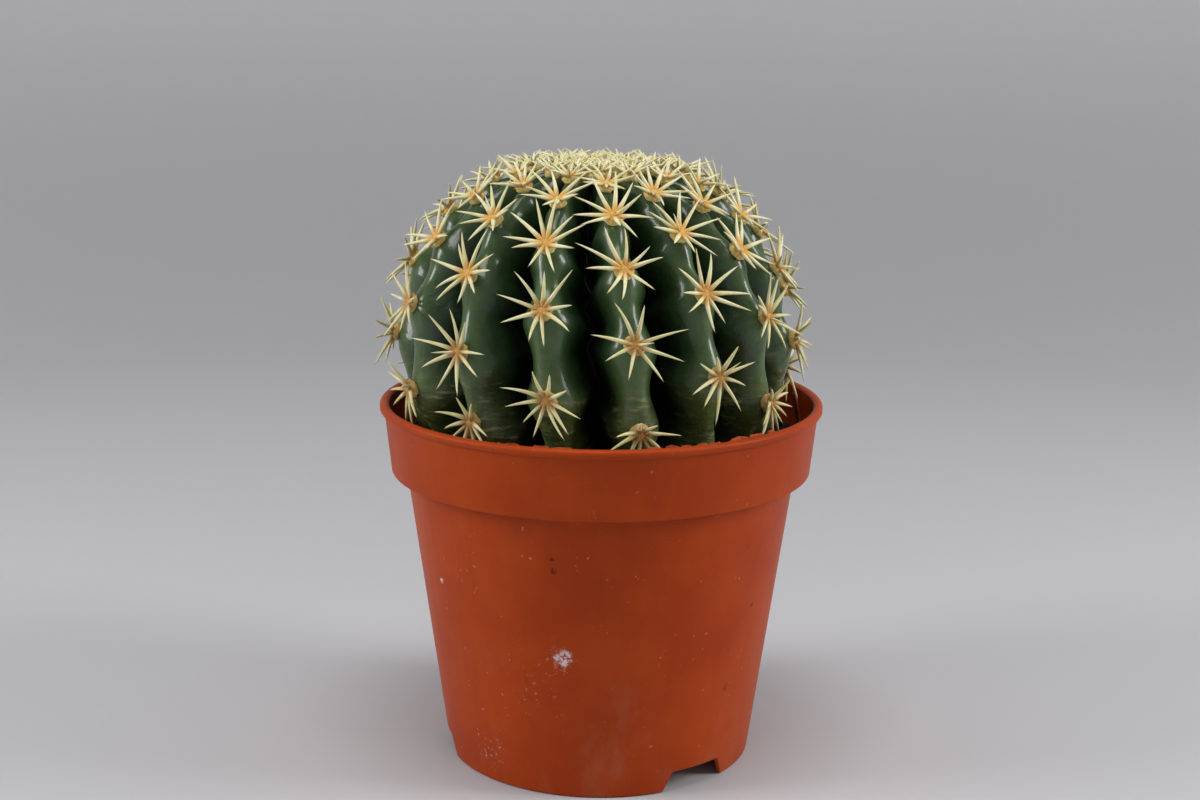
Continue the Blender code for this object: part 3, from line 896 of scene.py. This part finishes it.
def scatter_crumbs(name, count, sizes, finish):
    """Rough grains that lie on the soil as one piece."""
    bm = bmesh.new()
    for number in range(count):
        size = chance.uniform(*sizes)
        spot = loose_spot(chance, nearest_crumb, furthest_crumb)
        squash = Vector([chance.uniform(0.5, 1.1) for axis in range(3)])
        for vert in add_copy(bm, grain):
            rough = 1 + 0.45 * noise.noise(vert.co * 1.4 + spot * 1000)
            vert.co = spot + vert.co * squash * rough * size + Vector((0, 0, size * 0.3))
    piece_from(bm, name, [], [finish], math.radians(30))


bm = bmesh.new()
bmesh.ops.create_icosphere(bm, subdivisions=2, radius=1)
grain = pattern_from(bm, "grain", 0)
scatter_crumbs("soil_crumbs", 800, (0.0004, 0.0013), earth_skin)

bark = Finish("bark_and_fibre", {"Specular IOR Level": 0.3})
spot = bark.place()
shade = bark.noise(spot, 0.004, 2)
fibre = bark.mix(shade.between(0.35, 0.65), (0.16, 0.085, 0.035), (0.40, 0.28, 0.14))
fibre_skin = bark.feed({
    "Base Color": fibre, "Roughness": 0.8,
    "Normal": bark.bump(bark.noise(spot, 0.0004, 3), 0.0001),
})
scatter_crumbs("pale_grit", 110, (0.0003, 0.0008), fibre_skin)

brick = Finish("brick_flakes", {"Specular IOR Level": 0.3})
spot = brick.place()
tint = brick.noise(spot, 0.0025, 3)
red = brick.mix(tint.between(0.35, 0.65), (0.30, 0.040, 0.010), (0.52, 0.095, 0.022))
red_skin = brick.feed({
    "Base Color": red, "Roughness": 0.7,
    "Normal": brick.bump(brick.noise(spot, 0.0006, 3), 0.0002),
})
flake_circle, flake_rise = 0.0485, 0.0045
flake_lean = Matrix.Rotation(math.radians(-10), 3, "X")
bm = bmesh.new()
for degrees in (-27, -23, -16, -11, 14, 18, 23, 28, 31, 40, 46, 52, 100, 171, -140):
    around = math.radians(degrees + chance.uniform(-1, 1))
    half = Vector((chance.uniform(0.0013, 0.0028), 0.0003, chance.uniform(0.0037, 0.0041)))
    turn = Matrix.Rotation(around, 3, "Z")
    middle = turn @ Vector((0, -flake_circle, soil_level + flake_rise))
    for vert in add_copy(bm, grain):
        rough = 1 + 0.12 * noise.noise(vert.co * 1.7 + middle * 1000)
        blunt = [max(-1, min(1, 1.6 * share)) for share in vert.co]
        flake = Vector(half[axis] * blunt[axis] * rough for axis in range(3))
        vert.co = middle + turn @ (flake_lean @ flake)
bmesh.ops.recalc_face_normals(bm, faces=bm.faces)
piece_from(bm, "leaning_flakes", [], [red_skin], math.radians(30))

fibre_thickness = 0.00032
bm = new_growth()
for number in range(60):
    spot = loose_spot(chance, 0.039, 0.0470) + Vector((0, 0, 0.0006))
    swing = chance.uniform(0, math.tau)
    heading = Vector((math.cos(swing), math.sin(swing), chance.uniform(-0.05, 0.15))).normalized()
    length = chance.uniform(0.002, 0.006)
    sag = Vector((-heading.y, heading.x, 0)) * chance.uniform(-0.5, 0.5)
    while (spot + (heading + sag) * length).xy.length > 0.0485:
        length -= 0.0005
    if length > 0.001:
        grow_spine(bm, spot, heading, sag, length, fibre_thickness)
piece_from(bm, "soil_fibres", [], [fibre_skin], math.radians(60))


# ---- Stage ----------------------------------------------------------------------------
# A pale paper table curves up all round into a wall, so there is paper behind the plant on
# every side. The paper is painted darker on the table and lighter up the wall: painted shade
# and painted light. Soft lights stand left and right in front with a softer one overhead, and
# the camera looks down from a little above the rim.

room_radius, room_bend, room_height = 1.25, 0.75, 1.35
table_level = -0.0002
bend_steps = 24
section = [(0, table_level)]
for step in range(bend_steps + 1):
    turn = math.pi / 2 * step / bend_steps
    along = room_radius - room_bend + room_bend * math.sin(turn)
    section.append((along, table_level + room_bend - room_bend * math.cos(turn)))
section.append((room_radius, room_height))
bm = bmesh.new()
line = [bm.verts.new((0, -radius, height)) for radius, height in section]
strip = [bm.edges.new(pair) for pair in zip(line, line[1:])]
bmesh.ops.spin(
    bm, geom=line + strip, axis=(0, 0, 1), cent=(0, 0, 0), angle=math.tau,
    steps=120, use_merge=True,
)
bmesh.ops.remove_doubles(bm, verts=bm.verts, dist=0.000001)
bmesh.ops.recalc_face_normals(bm, faces=bm.faces)
mesh = bpy.data.meshes.new("round_backdrop")
bm.to_mesh(mesh)
bm.free()
mesh.shade_smooth()
paper = Finish("pale_paper", {"Roughness": 0.75})
# Painted shade and painted light: the paper's colour is darker on the table and lighter up the
# wall.
painted_light_rise = paper.height().between(0.01, 0.30)
paper_shade_and_light = paper.mix(painted_light_rise, (0.53, 0.53, 0.545), (0.88, 0.88, 0.895))
mesh.materials.append(paper.feed({"Base Color": paper_shade_and_light}))
table = bpy.data.objects.new("round_backdrop", mesh)
bpy.context.scene.collection.objects.link(table)


def soft_light(name, at, aim, width, height, power):
    light = bpy.data.lights.new(name, "AREA")
    light.shape = "RECTANGLE"
    light.size = width
    light.size_y = height
    light.energy = power
    lamp = bpy.data.objects.new(name, light)
    bpy.context.scene.collection.objects.link(lamp)
    lamp.location = at
    lamp.visible_camera = False
    lamp.rotation_euler = (Vector(aim) - Vector(at)).to_track_quat("-Z", "Y").to_euler()


soft_light("left_softbox", (-0.66, -0.16, 0.42), (0, 0, 0.07), 0.24, 0.36, 2.8)
soft_light("right_softbox", (0.66, -0.12, 0.42), (0, 0, 0.07), 0.24, 0.36, 3.1)
soft_light("overhead", (0, -0.20, 1.00), (0, -0.08, 0), 0.5, 0.35, 3.7)
world = bpy.data.worlds.new("studio")
bpy.context.scene.world = world
world.use_nodes = True
world.node_tree.nodes["Background"].inputs["Color"].default_value = (0.97, 0.98, 1.0, 1)
world.node_tree.nodes["Background"].inputs["Strength"].default_value = 0.12
bpy.context.scene.view_settings.view_transform = "Standard"

lens = bpy.data.cameras.new("camera")
lens.lens = 56.1
lens.sensor_width = 36
lens.clip_start = 0.01
camera = bpy.data.objects.new("camera", lens)
bpy.context.scene.collection.objects.link(camera)
camera.location = (-0.0003, -0.4353, 0.1835)
tilt = Matrix.Rotation(math.pi / 2 - math.radians(12.72), 4, "X")
camera.rotation_euler = (tilt @ Matrix.Rotation(0.0085, 4, "Z")).to_euler()
bpy.context.scene.camera = camera
